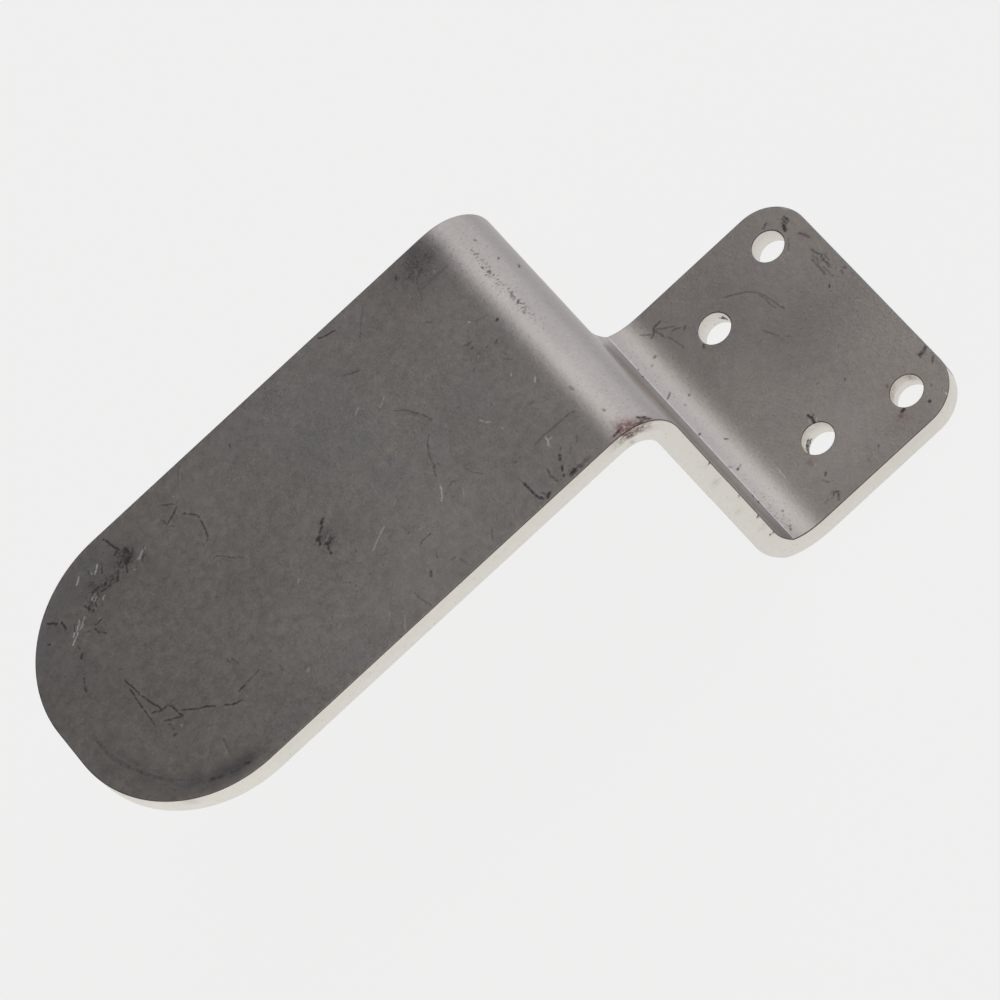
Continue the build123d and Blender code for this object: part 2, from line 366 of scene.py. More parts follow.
# Bright scratches and flecks on the upper face, given in the same way. The lines across the whole width at
# 29.6 along the strip are not scratches but a painted highlight along the heel's crease.
LIGHT_MARKS_AND_CREASE_HIGHLIGHT = (
    # painted highlight along the heel's crease
    (0.42, 0.30, (29.66, 20.9), (29.68, 12.0), (29.66, 3.0), (29.68, -8.0), (29.66, -20.9)),
    (0.60, 0.19, (16.2, -9.2), (16.5, -9.6), (16.4, -9.9)),
    (0.40, 0.15, (17.0, -8.6), (17.2, -9.2)),
    (0.70, 0.22, (2.45, -19.4), (2.5, -19.6)),
    (0.35, 0.15, (20.0, -13.9), (20.4, -14.3)),
    (0.32, 0.15, (24.0, -10.6), (24.05, -12.6)),
    (0.18, 0.16, (1.9, -0.8), (2.5, -0.1)),
    (0.55, 0.18, (77.2, 6.2), (77.7, 6.7)),
    (0.32, 0.18, (76.4, 15.8), (76.7, 15.6)),
    (0.45, 0.18, (77.95, -3.4), (78.15, -3.8)),
    (0.75, 0.18, (76.1, -6.3), (76.5, -6.75)),
    (0.45, 0.18, (84.6, -5.2), (84.2, -6.1), (83.6, -6.8)),
    (0.28, 0.16, (79.4, 1.9), (79.6, 1.6)),
    (0.36, 0.19, (91.1, 6.9), (91.8, 6.5), (92.4, 6.1)),
    (0.36, 0.19, (94.4, 8.3), (95.2, 7.8)),
    (0.80, 0.18, (93.15, -8.5), (93.5, -9.3), (94.0, -10.1), (94.3, -10.4)),
    (0.32, 0.15, (91.5, -11.4), (92.1, -12.3)),
    (0.38, 0.22, (83.0, -8.8), (83.2, -8.4)),
    (0.22, 0.22, (98.3, -5.6), (98.9, -6.0)),
    (0.30, 0.15, (107.2, -2.7), (107.8, -3.2)),
    (0.40, 0.22, (101.5, -7.4), (102.4, -7.8), (103.4, -8.3), (104.3, -8.9)),
    (0.38, 0.24, (113.3, -4.5), (113.6, -4.8)),
    (0.38, 0.24, (119.3, -15.1), (119.6, -15.4)),
    (0.26, 0.24, (107.7, -17.3), (108.0, -17.5)),
    (0.36, 0.19, (106.5, -19.0), (107.2, -20.0), (107.7, -20.9)),
    (0.32, 0.18, (118.3, 17.3), (118.6, 17.7)),
    (0.48, 0.20, (125.5, 14.6), (126.2, 14.3), (126.8, 14.1)),
    (0.38, 0.24, (127.7, 13.4), (127.8, 13.3)),
    (0.55, 0.24, (133.3, 14.6), (134.2, 14.3)),
    (0.38, 0.22, (134.3, 13.0), (134.4, 12.9)),
    (1.30, 0.18, (130.9, 17.7), (131.4, 17.3), (131.9, 16.9)),
    (1.05, 0.18, (133.5, 18.4), (133.9, 18.0), (134.4, 17.6)),
    (1.40, 0.17, (138.0, 12.0), (138.7, 11.7), (139.4, 11.2)),
    (0.70, 0.20, (136.9, 12.6), (137.3, 12.2)),
    (0.40, 0.22, (135.3, -8.6), (135.4, -8.9)),
    (0.24, 0.22, (127.1, -12.0), (127.2, -12.2)),
    (0.70, 0.16, (80.0, -13.7), (80.1, -14.4), (80.4, -15.1)),
    (0.45, 0.16, (80.0, -14.3), (79.5, -14.5)),
    (0.85, 0.16, (125.1, 14.7), (126.7, 14.0)),
    (0.95, 0.16, (133.4, 14.7), (134.2, 14.4)),
    (1.10, 0.16, (133.4, 14.2), (134.2, 13.9)),
    (0.80, 0.16, (132.5, 13.6), (133.1, 13.2)),
    (0.95, 0.16, (136.8, 13.4), (138.1, 12.2)),
    (0.75, 0.16, (136.1, 13.2), (137.6, 12.2)),
    (1.20, 0.16, (138.3, 12.5), (138.8, 12.0)),
    (0.70, 0.16, (132.1, 17.6), (132.2, 17.0)),
    # painted highlight: brighter runs of the crease's line on the near side
    (0.60, 0.20, (29.6, -6.5), (29.62, -12.5)),
    (0.60, 0.20, (29.62, -14.0), (29.6, -18.5)),
    (0.34, 0.40, (0.6, 17.4), (1.0, 18.4)),
)

# Soft patches on the upper face: amount, half sizes, then middle. Below 0 a stain is a paler place. The pale
# bands that run the whole width across heel and shoulder are not stains but painted highlight on the bends.
STAINS_AND_PAINTED_BEND_HIGHLIGHTS = (
    (-0.22, (13.0, 6.0), (13.0, -14.0)),
    (0.26, (7.0, 6.0), (10.0, 2.5)),
    (0.16, (7.0, 5.0), (15.0, 13.0)),
    # painted highlight: pale band across the heel, by its crease
    (-0.72, (1.0, 26.0), (30.9, 0.0)),
    (0.45, (1.6, 3.0), (31.4, -19.4)),
    (0.30, (2.2, 1.6), (30.4, -20.8)),
    (-0.20, (4.0, 14.0), (20.5, -4.0)),
    # painted highlight: pale band at the end of the heel, and one at its start
    (-0.90, (0.6, 26.0), (33.9, 0.0)),
    (-0.16, (1.3, 26.0), (26.4, 0.0)),
    # painted highlight: pale band across the shoulder
    (-0.22, (0.8, 20.0), (73.3, -5.0)),
    (0.42, (2.8, 1.8), (77.2, 18.8)),
    (0.30, (3.4, 3.2), (77.8, 17.0)),
    (0.40, (1.3, 0.8), (76.6, 20.2)),
    (0.22, (2.6, 0.6), (77.0, 15.2)),
    (0.35, (0.9, 0.9), (75.2, 17.8)),
    (0.25, (1.3, 1.2), (79.6, 2.2)),
    (0.20, (1.0, 1.0), (88.0, 18.0)),
    (-0.20, (13.0, 6.0), (104.0, -14.5)),
    (-0.17, (20.0, 30.0), (108.0, 0.0)),
    (0.45, (1.2, 1.0), (107.6, -2.8)),
    (0.55, (1.0, 1.4), (127.6, 15.9)),
    (0.30, (3.6, 2.4), (130.6, 15.6)),
    (0.35, (0.9, 0.9), (133.1, 15.8)),
    (0.30, (1.1, 1.5), (139.8, 14.6)),
    (0.30, (0.9, 1.0), (139.6, 8.0)),
    (0.25, (1.0, 1.0), (135.6, 10.2)),
    (1.15, (2.0, 0.9), (132.2, -18.9)),
    (1.00, (2.0, 0.9), (135.6, -17.8)),
    (0.75, (1.5, 1.0), (138.4, -16.0)),
    (0.30, (1.0, 2.4), (144.3, -4.0)),
    (0.30, (1.1, 2.2), (143.2, -8.0)),
    (0.36, (1.2, 1.9), (141.6, -11.8)),
    (0.30, (1.1, 1.0), (140.4, -14.8)),
    (0.04, (9.0, 16.0), (137.0, 2.0)),
)
# Hazy patches on the upper face, given as the stains are. The bands that run the whole width across heel and
# shoulder are painted reflection: a cool tint on the light the bends reflect.
HAZES_AND_PAINTED_BEND_TINT = (
    # painted reflection tint across the shoulder
    (0.55, (1.9, 30.0), (69.0, 0.0)),
    (0.30, (3.4, 30.0), (73.4, 0.0)),
    # painted reflection tint across the heel
    (0.35, (2.4, 30.0), (28.0, 0.0)),
    (1.00, (1.1, 30.0), (30.6, 0.0)),
    (0.40, (3.2, 2.2), (77.2, 18.4)),
    (0.45, (3.0, 1.2), (88.5, 19.0)),
    (0.65, (2.4, 3.5), (95.8, 12.5)),
    (0.65, (2.2, 3.0), (83.2, -2.4)),
    (0.65, (1.4, 1.8), (89.8, -3.5)),
    (0.65, (2.2, 1.8), (97.0, -1.8)),
    (0.70, (2.6, 1.8), (97.0, 4.6)),
    (0.65, (3.0, 4.0), (101.5, 9.5)),
    (0.50, (5.0, 2.6), (105.5, 18.0)),
    (0.45, (1.0, 1.4), (84.4, -18.6)),
    (0.45, (1.2, 0.9), (97.0, -19.3)),
    (0.45, (1.3, 1.0), (114.2, -18.8)),
    (0.35, (1.4, 1.1), (117.5, -19.2)),
    (0.60, (3.4, 1.7), (131.6, 18.6)),
    (0.60, (2.6, 1.6), (137.2, 17.8)),
    (0.70, (1.8, 2.4), (141.4, 14.6)),
    (0.60, (1.6, 2.6), (143.4, 10.6)),
    (0.50, (0.9, 0.8), (133.3, 16.2)),
    (0.60, (0.9, 0.9), (127.8, 16.0)),
    (0.50, (1.4, 1.2), (139.6, 7.6)),
    (0.90, (1.2, 0.8), (134.0, -18.7)),
    (0.80, (1.3, 0.9), (139.0, -15.6)),
    (0.50, (1.5, 1.0), (124.8, -19.4)),
)
RUSTS = (
    (0.40, (0.5, 0.9), (1.4, 12.5)),
    (0.35, (0.9, 0.5), (19.9, 9.4)),
    (0.60, (0.6, 0.7), (20.4, -13.6)),
    (0.80, (0.5, 0.5), (8.4, -17.3)),
    (0.22, (3.0, 3.0), (6.0, -15.0)),
    (0.22, (2.8, 2.6), (18.5, -11.0)),
    (0.40, (1.3, 1.0), (8.8, -18.3)),
    (0.25, (0.8, 0.8), (7.2, -13.4)),
    (1.20, (0.9, 0.6), (72.6, -20.2)),
    (0.90, (1.9, 0.4), (72.0, -20.8)),
    (0.35, (0.6, 0.7), (72.9, -19.3)),
    (0.20, (1.4, 0.6), (140.3, -17.3)),
    (0.16, (0.9, 0.9), (145.3, -9.4)),
)
DIRTS = (
    (0.50, (1.2, 2.8), (2.1, 7.6)),
    (0.80, (0.6, 1.0), (2.2, 16.2)),
    (0.24, (1.5, 30.0), (28.4, -2.0)),
    (0.30, (1.2, 5.0), (29.2, -17.0)),
    (0.45, (1.6, 1.3), (22.2, 16.6)),
    (0.60, (0.5, 0.6), (16.5, -8.7)),
    (0.80, (0.9, 0.6), (1.1, -12.8)),
    (0.50, (0.5, 0.7), (0.7, -14.4)),
    (0.70, (0.8, 0.9), (20.9, -19.6)),
    (0.48, (0.25, 1.0), (72.05, 14.6)),
    (0.48, (0.30, 1.2), (71.75, 12.8)),
    (0.50, (0.30, 1.3), (72.3, 11.0)),
    (0.52, (0.34, 2.8), (72.2, 8.0)),
    (0.42, (0.34, 2.0), (71.8, 4.0)),
    (0.42, (0.34, 1.8), (72.3, 2.6)),
    (0.30, (0.40, 1.6), (71.7, 0.6)),
    (0.20, (1.40, 5.5), (72.0, 8.0)),
    (0.45, (0.30, 2.6), (73.7, 15.5)),
    (0.52, (3.2, 2.0), (77.4, 18.8)),
    (0.44, (3.2, 3.0), (78.4, 16.4)),
    (0.50, (1.5, 1.4), (79.9, 1.6)),
    (0.60, (2.2, 0.6), (79.6, -20.4)),
    (0.52, (1.8, 1.6), (80.6, -18.4)),
    (0.80, (1.2, 1.6), (107.8, -3.0)),
    (0.30, (2.0, 1.6), (119.8, 15.6)),
    (0.85, (1.1, 1.2), (127.4, 15.8)),
    (0.62, (3.0, 0.9), (131.2, 14.4)),
    (0.46, (3.4, 2.6), (131.4, 16.6)),
    (0.62, (1.4, 1.0), (134.8, 13.6)),
    (0.60, (1.2, 1.6), (139.6, 14.8)),
    (0.52, (1.3, 1.2), (135.8, 10.4)),
    (0.40, (1.0, 1.6), (139.6, 9.0)),
    (0.35, (1.0, 1.4), (141.2, 5.6)),
    (0.62, (1.6, 0.8), (132.4, -19.2)),
    (0.60, (1.6, 0.9), (136.0, -17.8)),
)

# Spots on the cut walls: dirt, rust, radius, then place (along the strip, across it, up from its middle)
WALL_SPOTS = (
    (2.5, 0.2, 0.45, (15.9, 12.8, -0.2)),
    (2.5, 0.2, 0.45, (18.9, -9.57, -0.7)),
    (2.5, 0.2, 0.45, (19.5, -10.1, -0.6)),
    (2.0, 0.2, 0.40, (19.85, -10.6, -0.9)),
    (2.0, 0.0, 0.36, (35.4, -21.0, 1.1)),
    (1.6, 0.1, 0.34, (40.3, -21.0, 1.3)),
    (1.6, 0.1, 0.34, (46.6, -21.0, 1.3)),
    (1.5, 0.4, 0.34, (56.0, -21.0, 1.2)),
    (0.0, 0.6, 0.60, (4.3, -13.6, 0.6)),
    (0.9, 0.4, 0.28, (71.2, -21.0, 0.9)),
    (1.2, 0.4, 0.28, (72.2, -21.0, 0.3)),
    (0.3, 0.6, 0.34, (73.2, -21.0, 1.1)),
    (0.3, 0.5, 0.34, (72.4, -21.0, -0.9)),
    (0.2, 0.3, 0.60, (52.0, -21.0, 0.3)),
    (0.3, 0.2, 0.50, (44.0, -21.0, -0.2)),
    (0.3, 0.3, 0.45, (38.0, -21.0, 0.9)),
)


# Camera at the photograph's viewing angle

def add_camera():
    """Camera turned to the photograph's view: from above the near side, rolled about its own axis."""
    azimuth = math.radians(2.516)
    elevation = math.radians(54.279)
    roll = math.radians(44.711)
    aim = Vector((-40.04, 2.25, 20.0)) * MM
    distance = 847.0 * MM
    level = math.cos(elevation)
    back = Vector((level * math.sin(azimuth), -level * math.cos(azimuth), math.sin(elevation)))
    data = bpy.data.cameras.new("photo_camera")
    data.sensor_width = 36.0
    data.lens = 247.27
    camera = bpy.data.objects.new("photo_camera", data)
    camera.rotation_mode = "QUATERNION"
    camera.rotation_quaternion = back.to_track_quat("Z", "Y") @ Quaternion((0, 0, 1), -roll)
    camera.location = aim + back * distance
    bpy.context.scene.collection.objects.link(camera)
    bpy.context.scene.camera = camera


# Node helpers

class Amount:
    """A shader value that adds Math nodes when it is used in an expression."""

    def __init__(self, paint, socket):
        self.paint = paint
        self.socket = socket

    def _do(self, operation, *values, clamp=False):
        settings = {"operation": operation, "use_clamp": clamp}
        node = self.paint.node("ShaderNodeMath", settings, dict(enumerate(values)))
        return Amount(self.paint, node.outputs[0])

    def __add__(self, other):
        return self._do("ADD", self, other)

    __radd__ = __add__

    def __sub__(self, other):
        return self._do("SUBTRACT", self, other)

    def __rsub__(self, other):
        return self._do("SUBTRACT", other, self)

    def __mul__(self, other):
        return self._do("MULTIPLY", self, other)

    __rmul__ = __mul__

    def __truediv__(self, other):
        return self._do("DIVIDE", self, other)

    def above(self, low, high):
        """0 below low, 1 above high, eased between them; high may be the lower of the two."""
        share = ((self - low) / (high - low)).clamped()
        return share * share * (3.0 - 2.0 * share)

    def clamped(self):
        return self._do("ADD", self, 0.0, clamp=True)

    def root(self):
        return self._do("SQRT", self)

    def most(self, other):
        return self._do("MAXIMUM", self, other)


class Paint:
    """A material and the nodes that make it."""

    def __init__(self, name):
        self.material = bpy.data.materials.new(name)
        self.material.use_nodes = True
        self.tree = self.material.node_tree
        self.tree.nodes.clear()

    def node(self, kind, settings=None, sockets=None):
        node = self.tree.nodes.new(kind)
        for key, value in (settings or {}).items():
            setattr(node, key, value)
        for key, value in (sockets or {}).items():
            self.feed(node.inputs[key], value)
        return node

    def feed(self, socket, value):
        if isinstance(value, Amount):
            value = value.socket
        if isinstance(value, bpy.types.NodeSocket):
            self.tree.links.new(value, socket)
        else:
            socket.default_value = value

    def noise(self, place, scale, detail=3.0, rough=0.5, distortion=0.0):
        values = {"Vector": place, "Scale": scale, "Detail": detail, "Roughness": rough,
                  "Distortion": distortion}
        node = self.node("ShaderNodeTexNoise", {"noise_dimensions": "3D"}, values)
        return Amount(self, node.outputs["Fac"])

    def noise_vector(self, place, scale, detail, rough):
        """Three noises at once, one to each axis."""
        values = {"Vector": place, "Scale": scale, "Detail": detail, "Roughness": rough}
        return self.node("ShaderNodeTexNoise", {"noise_dimensions": "3D"}, values).outputs["Color"]

    def mixed(self, share, first, second):
        """Colour between first and second."""
        settings = {"data_type": "RGBA", "clamp_factor": True}
        node = self.node("ShaderNodeMix", settings, {0: share, 6: first, 7: second})
        return node.outputs[2]

    def attribute(self, name):
        settings = {"attribute_type": "GEOMETRY", "attribute_name": name}
        return self.node("ShaderNodeAttribute", settings)

    def axes(self, vector):
        node = self.node("ShaderNodeSeparateXYZ", None, {0: vector})
        return [Amount(self, socket) for socket in node.outputs]

    def finish(self, surface):
        output = self.node("ShaderNodeOutputMaterial")
        self.feed(output.inputs["Surface"], surface)
        return self.material


def colour(red, green, blue):
    return (red, green, blue, 1.0)


# Studio: pale floor, plain surroundings and soft lamps

PAPER = colour(0.885, 0.885, 0.882)


def floor_material():
    paint = Paint("pale_floor")
    path = paint.node("ShaderNodeLightPath")
    camera_ray = Amount(paint, path.outputs["Is Camera Ray"])
    glossy_ray = Amount(paint, path.outputs["Is Glossy Ray"])
    clear_ray = Amount(paint, path.outputs["Is Transmission Ray"])
    seen = (camera_ray + glossy_ray + clear_ray).clamped()
    grain = paint.noise(paint.node("ShaderNodeTexCoord").outputs["Object"], 90.0, 2.0)
    tone = paint.mixed(grain, colour(0.79, 0.79, 0.79), colour(0.81, 0.81, 0.81))
    matt = paint.node("ShaderNodeBsdfDiffuse", None, {"Color": tone})
    lit = paint.node("ShaderNodeEmission", None, {"Color": PAPER, "Strength": 1.0})
    both = paint.node("ShaderNodeMixShader", None, {0: seen * 0.95, 1: matt.outputs[0], 2: lit.outputs[0]})
    return paint.finish(both.outputs[0])


def add_floor():
    bm = bmesh.new()
    bmesh.ops.create_grid(bm, x_segments=2, y_segments=2, size=3.0)
    mesh = bpy.data.meshes.new("floor")
    bm.to_mesh(mesh)
    bm.free()
    mesh.materials.append(floor_material())
    floor = bpy.data.objects.new("floor", mesh)
    bpy.context.scene.collection.objects.link(floor)


def add_surroundings():
    """Grey surroundings for the light, shown as pale paper where the camera sees past the floor."""
    world = bpy.data.worlds.new("studio")
    bpy.context.scene.world = world
    world.use_nodes = True
    tree = world.node_tree
    tree.nodes.clear()
    path = tree.nodes.new("ShaderNodeLightPath")
    grey = tree.nodes.new("ShaderNodeBackground")
    grey.inputs["Color"].default_value = colour(0.13, 0.13, 0.13)
    paper = tree.nodes.new("ShaderNodeBackground")
    paper.inputs["Color"].default_value = PAPER
    both = tree.nodes.new("ShaderNodeMixShader")
    tree.links.new(path.outputs["Is Camera Ray"], both.inputs[0])
    tree.links.new(grey.outputs[0], both.inputs[1])
    tree.links.new(paper.outputs[0], both.inputs[2])
    output = tree.nodes.new("ShaderNodeOutputWorld")
    tree.links.new(both.outputs[0], output.inputs["Surface"])


def add_softbox(name, azimuth, elevation, distance, size, brightness):
    """Soft rectangular lamp facing the tab; azimuth is from +Y towards +X, sizes in metres."""
    turn = math.radians(azimuth)
    lift = math.radians(elevation)
    level = math.cos(lift)
    towards = Vector((level * math.sin(turn), level * math.cos(turn), math.sin(lift)))
    data = bpy.data.lights.new(name, "AREA")
    data.shape = "RECTANGLE"
    data.size = size[0]
    data.size_y = size[1]
    data.energy = brightness * math.pi * size[0] * size[1]
    lamp = bpy.data.objects.new(name, data)
    lamp.rotation_mode = "QUATERNION"
    lamp.rotation_quaternion = towards.to_track_quat("Z", "Y")
    lamp.location = Vector((-0.04, 0.0, 0.02)) + towards * distance
    lamp.visible_camera = False
    bpy.context.scene.collection.objects.link(lamp)


def add_lamps():
    add_softbox("right_softbox", 63.0, 33.0, 1.3, (1.62, 1.9), 1.03)
    add_softbox("high_softbox", 38.0, 50.0, 1.25, (0.7, 0.6), 0.30)
    add_softbox("top_softbox", 180.0, 80.0, 1.4, (1.3, 0.9), 1.4)
    add_softbox("left_softbox", -110.0, 30.0, 1.5, (1.2, 1.2), 0.7)


# Sheet profile

def eased_ramp(distance, ease):
    """0 before a corner and distance after it, rounded off within ease on both sides."""
    if distance <= -ease:
        return 0.0
    if distance >= ease:
        return distance
    return (distance + ease) ** 2 / (4 * ease)


def turn_of(turns, along):
    """Angle that a bend has made, at a distance from the base's free end."""
    angle = 0.0
    for start, end, degrees, ease_in, ease_out in turns:
        run = eased_ramp(along - start, ease_in) - eased_ramp(along - end, ease_out)
        angle += math.radians(degrees) * run / (end - start)
    return angle


def turned(along):
    """Angle by which the sheet has turned up, at a distance from the base's free end."""
    return turn_of(HEEL_TURNS, along) - turn_of(SHOULDER_TURNS, along)


def middle_line():
    """Points on the middle of the bent sheet, one a step, from the base's free end to the tip."""
    steps = math.ceil(STRIP_LENGTH / PROFILE_STEP)
    step = STRIP_LENGTH / steps
    x, z = 0.0, 0.0
    line = [(x, z)]
    for number in range(steps):
        angle = turned((number + 0.5) * step)
        x -= step * math.cos(angle)
        z += step * math.sin(angle)
        line.append((x, z))
    stretch_x = (TONGUE_TIP_X - BASE_END_X) / x
    stretch_z = (HEIGHT - SHEET) / z
    return step, [(BASE_END_X + px * stretch_x, SHEET / 2 + pz * stretch_z) for px, pz in line]


# Flat blank

def concentric(first, second):
    """Moves a point of a quarter square onto the quarter disc of the same size."""
    if first == 0.0 and second == 0.0:
        return first, second
    if first >= second:
        angle = math.pi / 4 * second / first
        return first * math.cos(angle), first * math.sin(angle)
    angle = QUARTER - math.pi / 4 * first / second
    return second * math.cos(angle), second * math.sin(angle)


def eased(share):
    share = min(max(share, 0.0), 1.0)
    return share * share * (3.0 - 2.0 * share)


def round_corner(bm, centre, radius, outward, start, full):
    """Rounds the blank's corner beyond centre; start and full say where the rounding sets in, 0 to 1."""
    for vert in bm.verts:
        first = (vert.co.x - centre[0]) * outward[0]
        second = (vert.co.y - centre[1]) * outward[1]
        if first < 0.0 or second < 0.0:
            continue
        ring = max(first, second) / radius
        share = eased((ring - start) / (full - start)) if full > start else 1.0
        round_first, round_second = concentric(first, second)
        vert.co.x += outward[0] * share * (round_first - first)
        vert.co.y += outward[1] * share * (round_second - second)


def open_hole(bm, centre, radius, reach=3.6):
    """Takes out the cells at centre and moves the rings about them onto circles."""
    def off(point):
        return point.x - centre[0], point.y - centre[1]
    inside = [face for face in bm.faces
              if max(map(abs, off(face.calc_center_median()))) < radius - CUT_MARGIN]
    corners = {vert for face in inside for vert in face.verts}
    half_along = max(abs(off(vert.co)[0]) for vert in corners)
    half_across = max(abs(off(vert.co)[1]) for vert in corners)
    bmesh.ops.delete(bm, geom=inside, context="FACES")
    for vert in bm.verts:
        along, across = off(vert.co)
        if max(abs(along), abs(across)) > reach:
            continue
        ring = max(abs(along) / half_along, abs(across) / half_across)
        unit_along, unit_across = concentric(abs(along) / half_along, abs(across) / half_across)
        out = (radius + (ring - 1.0) * half_along) / ring
        share = 1.0 - eased((ring - 1.0) / (reach / half_across - 1.0))
        vert.co.x += share * (math.copysign(unit_along * out, along) - along)
        vert.co.y += share * (math.copysign(unit_across * out, across) - across)


def gather_rows(bm, place, reach=2.0):
    """Draws the rows of vertices near a place along the strip in towards it."""
    for vert in bm.verts:
        off = vert.co.x - place
        if abs(off) < reach:
            vert.co.x = place + off * abs(off) / reach


def is_level(face):
    """True for the blank's flat faces and for its walls, false for the rounding between them."""
    return min(abs(face.normal.z), abs(abs(face.normal.z) - 1.0)) < 0.001


def make_blank():
    """Flat strip, outline and holes cut and rims rounded: x along the strip, y across, z up, in mm."""
    bm = bmesh.new()
    cells_along = round(STRIP_LENGTH / CELL)
    cells_across = round(WIDTH / CELL)
    bmesh.ops.create_grid(bm, x_segments=cells_along, y_segments=cells_across, size=0.5)
    bmesh.ops.scale(bm, vec=(STRIP_LENGTH, WIDTH, 1.0), verts=bm.verts)
    bmesh.ops.translate(bm, vec=(STRIP_LENGTH / 2, 0.0, -SHEET / 2), verts=bm.verts)
    gather_rows(bm, CREASE)
    for centre in HOLES:
        open_hole(bm, centre, HOLE_RADIUS)
    for side in (1, -1):
        base_centre = (BASE_CORNER_RADIUS, side * (WIDTH / 2 - BASE_CORNER_RADIUS))
        round_corner(bm, base_centre, BASE_CORNER_RADIUS, (-1, side), 0.55, 0.9)
        tip_centre = (STRIP_LENGTH - TIP_RADIUS, side * (WIDTH / 2 - TIP_RADIUS))
        round_corner(bm, tip_centre, TIP_RADIUS, (1, side), 0.0, 0.0)
    raised = bmesh.ops.extrude_face_region(bm, geom=bm.faces[:])
    top = [item for item in raised["geom"] if isinstance(item, bmesh.types.BMVert)]
    bmesh.ops.translate(bm, vec=(0.0, 0.0, SHEET), verts=top)
    bmesh.ops.recalc_face_normals(bm, faces=bm.faces)
    rims = [edge for edge in bm.edges if abs(edge.calc_face_angle(0.0) - QUARTER) < 0.02]
    rims = [edge for edge in rims if edge.verts[0].co.z == edge.verts[1].co.z]
    bmesh.ops.bevel(bm, geom=rims, offset=RIM_ROUNDING, offset_type="OFFSET", segments=3, profile=0.5,
                    affect="EDGES", clamp_overlap=False, material=-1)
    walls = [edge for edge in bm.edges if abs(edge.verts[0].co.z - edge.verts[1].co.z) > SHEET / 2]
    bmesh.ops.subdivide_edges(bm, edges=walls, cuts=4, use_grid_fill=True)
    bm.normal_update()
    for edge in bm.edges:
        edge.smooth = len({is_level(face) for face in edge.link_faces}) == 1
    return bm


# Marks

def nearest_on_run(point, start, end):
    """Offset from point to the nearest place on the run from start to end."""
    run = end - start
    share = min(max((point - start).dot(run) / run.length_squared, 0.0), 1.0)
    return start + run * share - point


def line_distance(first, second):
    """Least distance between the points of two marks, sampled along their runs."""
    def samples(points):
        spread = []
        for start, end in zip(points, points[1:]):
            count = max(1, int((end - start).length / 0.5))
            spread += [start.lerp(end, number / count) for number in range(count + 1)]
        return spread
    others = samples(second)
    return min((here - there).length for here in samples(first) for there in others)


CELL_DIAGONAL = 0.75
MARK_REACH = 1.6
MARK_GAP = 3.0
NO_MARK = (9.0, 9.0, 0.0, 0.1)  # offset along, offset across, tone and width away from all marks
PATCH_REACH = 2.5  # times a patch's half size
PATCH_FALL = 0.7  # how fast a patch fades

# Underside: marks in all, light ones among them, and the soft patches as count and greatest
# strength, for stain, haze, rust and dirt
UNDER_SEED = 11
UNDER_MARKS = 84
UNDER_LIGHT_MARKS = 14
UNDER_PATCHES = ((14, 0.4), (12, 0.6), (4, 0.4), (22, 0.7))


def sort_marks(dark_marks, light_marks):
    """Deals the marks into layers, so that marks in one layer are never nearer than the gap.

    A mark's tone is its strength, below 0 for a dark one.
    """
    marks = [(-strength ** 0.7, width, places) for strength, width, *places in dark_marks]
    marks += [(strength, width, places) for strength, width, *places in light_marks]
    layers = []
    for tone, width, places in marks:
        points = [Vector(place) for place in places]
        for layer in layers:
            if all(line_distance(points, other[2]) > MARK_GAP for other in layer):
                layer.append((tone, width, points))
                break
        else:
            layers.append([(tone, width, points)])
    return layers


def near_verts(cells, start, end):
    """Vertices in the cells that lie within reach of the run from start to end."""
    low = [math.floor(min(start[axis], end[axis]) - MARK_REACH) for axis in (0, 1)]
    high = [math.floor(max(start[axis], end[axis]) + MARK_REACH) for axis in (0, 1)]
    for key_along in range(low[0], high[0] + 1):
        for key_across in range(low[1], high[1] + 1):
            yield from cells.get((key_along, key_across), ())


def store_lines(bm, layers, face_side):
    """Keeps each vertex's offset to the nearest mark of every layer, with its tone and width."""
    cells = {}
    for vert in bm.verts:
        if vert.co.z * face_side > 0.0:
            cells.setdefault((math.floor(vert.co.x), math.floor(vert.co.y)), []).append(vert)
    for number, layer in enumerate(layers):
        store = bm.verts.layers.float_color[f"line_{number}"]
        best = {}
        for tone, width, points in layer:
            for start, end in zip(points, points[1:]):
                for vert in near_verts(cells, start, end):
                    off = nearest_on_run(vert.co.xy, start, end)
                    if off.length < best.get(vert, MARK_REACH):
                        best[vert] = off.length
                        shown = tone if off.length < CELL_DIAGONAL else 0.0
                        vert[store] = (off.x, off.y, shown, width)


def add_layer(bm, name, start):
    store = bm.verts.layers.float_color.new(name)
    for vert in bm.verts:
        vert[store] = start


def store_patches_and_sheen(bm, kinds, face_side):
    """Adds up the soft patches at each vertex, kind by kind: stain, haze, rust, dirt; the stain and haze
    kinds also hold the painted highlight and reflection tint across the bends.
    """
    store = bm.verts.layers.float_color["soil_and_painted_sheen"]
    face = [vert for vert in bm.verts if vert.co.z * face_side > 0.0]
    for kind, patches in enumerate(kinds):
        for amount, half, middle in patches:
            for vert in face:
                along = (vert.co.x - middle[0]) / half[0]
                if abs(along) > PATCH_REACH:
                    continue
                across = (vert.co.y - middle[1]) / half[1]
                if abs(across) < PATCH_REACH:
                    spread = along * along + across * across
                    vert[store][kind] += amount * math.exp(-PATCH_FALL * spread)


def store_wall_spots(bm):
    store = bm.verts.layers.float_color["soil_and_painted_sheen"]
    for vert in bm.verts:
        if abs(vert.co.z) > SHEET / 2 - RIM_ROUNDING:
            continue
        for dirt, rust, radius, place in WALL_SPOTS:
            spread = (vert.co - Vector(place)).length_squared / radius ** 2
            if spread < 6.0:
                vert[store][2] += rust * math.exp(-spread)
                vert[store][3] += dirt * math.exp(-spread)


